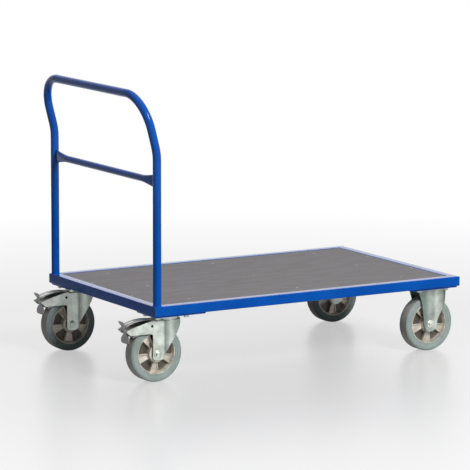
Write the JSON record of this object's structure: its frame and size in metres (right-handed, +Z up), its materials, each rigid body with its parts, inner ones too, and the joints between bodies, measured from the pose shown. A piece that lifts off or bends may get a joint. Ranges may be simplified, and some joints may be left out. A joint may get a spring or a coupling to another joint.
{
  "type": "platform cart",
  "caption": "Flat platform cart: blue welded square-tube frame, inset plywood deck, fixed bent-tube push handle with crossbar, braked swivel castors at the handle and fixed castors in front.",
  "frame": {"origin": "on the floor under the middle of the bounding box of the cart at rest, brake pedals released", "axes": "+X forwards along the platform, away from the push handle; +Y to the cart's left; +Z up"},
  "size_m": [1.3684, 0.8, 1.021],
  "materials": {
    "blue_paint": "smooth gloss powder coat",
    "deck_board": "grey-brown film-faced plywood, dull",
    "grey_rubber": "matte",
    "cast_aluminium": "as cast, satin",
    "zinc_plated_steel": "bright zinc plate, satin",
    "grey_coated_steel": "grey coat, dull",
    "plain_steel": "ground"
  },
  "bodies": {
    "chassis": {"castor_mounting_plates": "blue_paint", "castor_screws": "zinc_plated_steel", "castor_washers": "zinc_plated_steel", "cross_members": "blue_paint", "deck_board": "deck_board", "deck_ledges": "blue_paint", "deck_screws": "zinc_plated_steel", "frame_rail_front": "blue_paint", "frame_rail_left": "blue_paint", "frame_rail_rear": "blue_paint", "frame_rail_right": "blue_paint", "front_left_axle_bolt": "zinc_plated_steel", "front_left_axle_nut": "zinc_plated_steel", "front_left_axle_sleeve": "plain_steel", "front_left_bracket": "zinc_plated_steel", "front_right_axle_bolt": "zinc_plated_steel", "front_right_axle_nut": "zinc_plated_steel", "front_right_axle_sleeve": "plain_steel", "front_right_bracket": "zinc_plated_steel", "handle_crossbar": "blue_paint", "handle_welds": "blue_paint", "push_handle": "blue_paint", "rear_left_kingpin": "zinc_plated_steel", "rear_left_top_plate": "zinc_plated_steel", "rear_right_kingpin": "zinc_plated_steel", "rear_right_top_plate": "zinc_plated_steel"},
    "rear left swivel": {"rear_left_fork": "zinc_plated_steel", "rear_left_ball_ring": "plain_steel", "rear_left_brake_leaf": "zinc_plated_steel", "rear_left_pedal_rivets": "zinc_plated_steel", "rear_left_axle_bolt": "zinc_plated_steel", "rear_left_axle_nut": "zinc_plated_steel", "rear_left_axle_sleeve": "plain_steel"},
    "rear left pedal": {"rear_left_brake_pedal": "grey_coated_steel", "rear_left_brake_shoe": "plain_steel"},
    "rear left wheel": {"rear_left_rim": "cast_aluminium", "rear_left_tyre": "grey_rubber", "rear_left_bearings": "plain_steel"},
    "front left wheel": {"front_left_rim": "cast_aluminium", "front_left_tyre": "grey_rubber", "front_left_bearings": "plain_steel"},
    "rear right swivel": {"rear_right_fork": "zinc_plated_steel", "rear_right_ball_ring": "plain_steel", "rear_right_brake_leaf": "zinc_plated_steel", "rear_right_pedal_rivets": "zinc_plated_steel", "rear_right_axle_bolt": "zinc_plated_steel", "rear_right_axle_nut": "zinc_plated_steel", "rear_right_axle_sleeve": "plain_steel"},
    "rear right pedal": {"rear_right_brake_pedal": "grey_coated_steel", "rear_right_brake_shoe": "plain_steel"},
    "rear right wheel": {"rear_right_rim": "cast_aluminium", "rear_right_tyre": "grey_rubber", "rear_right_bearings": "plain_steel"},
    "front right wheel": {"front_right_rim": "cast_aluminium", "front_right_tyre": "grey_rubber", "front_right_bearings": "plain_steel"}
  },
  "joints": [
    {"name": "rear_left_swivel", "type": "hinge", "parent": "chassis", "child": "rear left swivel", "pos_m": [-0.50481, 0.3225, 0.219], "axis": [0, 0, 1], "continuous": true},
    {"name": "rear_left_brake", "type": "hinge", "parent": "rear left swivel", "child": "rear left pedal", "pos_m": [-0.57781, 0.3225, 0.201], "axis": [0, -1, 0], "range_deg": [0, 8]},
    {"name": "rear_left_roll", "type": "hinge", "parent": "rear left swivel", "child": "rear left wheel", "pos_m": [-0.55481, 0.3225, 0.1], "axis": [0, 1, 0], "continuous": true},
    {"name": "front_left_roll", "type": "hinge", "parent": "chassis", "child": "front left wheel", "pos_m": [0.58419, 0.3225, 0.1], "axis": [0, 1, 0], "continuous": true},
    {"name": "rear_right_swivel", "type": "hinge", "parent": "chassis", "child": "rear right swivel", "pos_m": [-0.50481, -0.3225, 0.219], "axis": [0, 0, 1], "continuous": true},
    {"name": "rear_right_brake", "type": "hinge", "parent": "rear right swivel", "child": "rear right pedal", "pos_m": [-0.57781, -0.3225, 0.201], "axis": [0, -1, 0], "range_deg": [0, 8]},
    {"name": "rear_right_roll", "type": "hinge", "parent": "rear right swivel", "child": "rear right wheel", "pos_m": [-0.55481, -0.3225, 0.1], "axis": [0, 1, 0], "continuous": true},
    {"name": "front_right_roll", "type": "hinge", "parent": "chassis", "child": "front right wheel", "pos_m": [0.58419, -0.3225, 0.1], "axis": [0, 1, 0], "continuous": true}
  ]
}
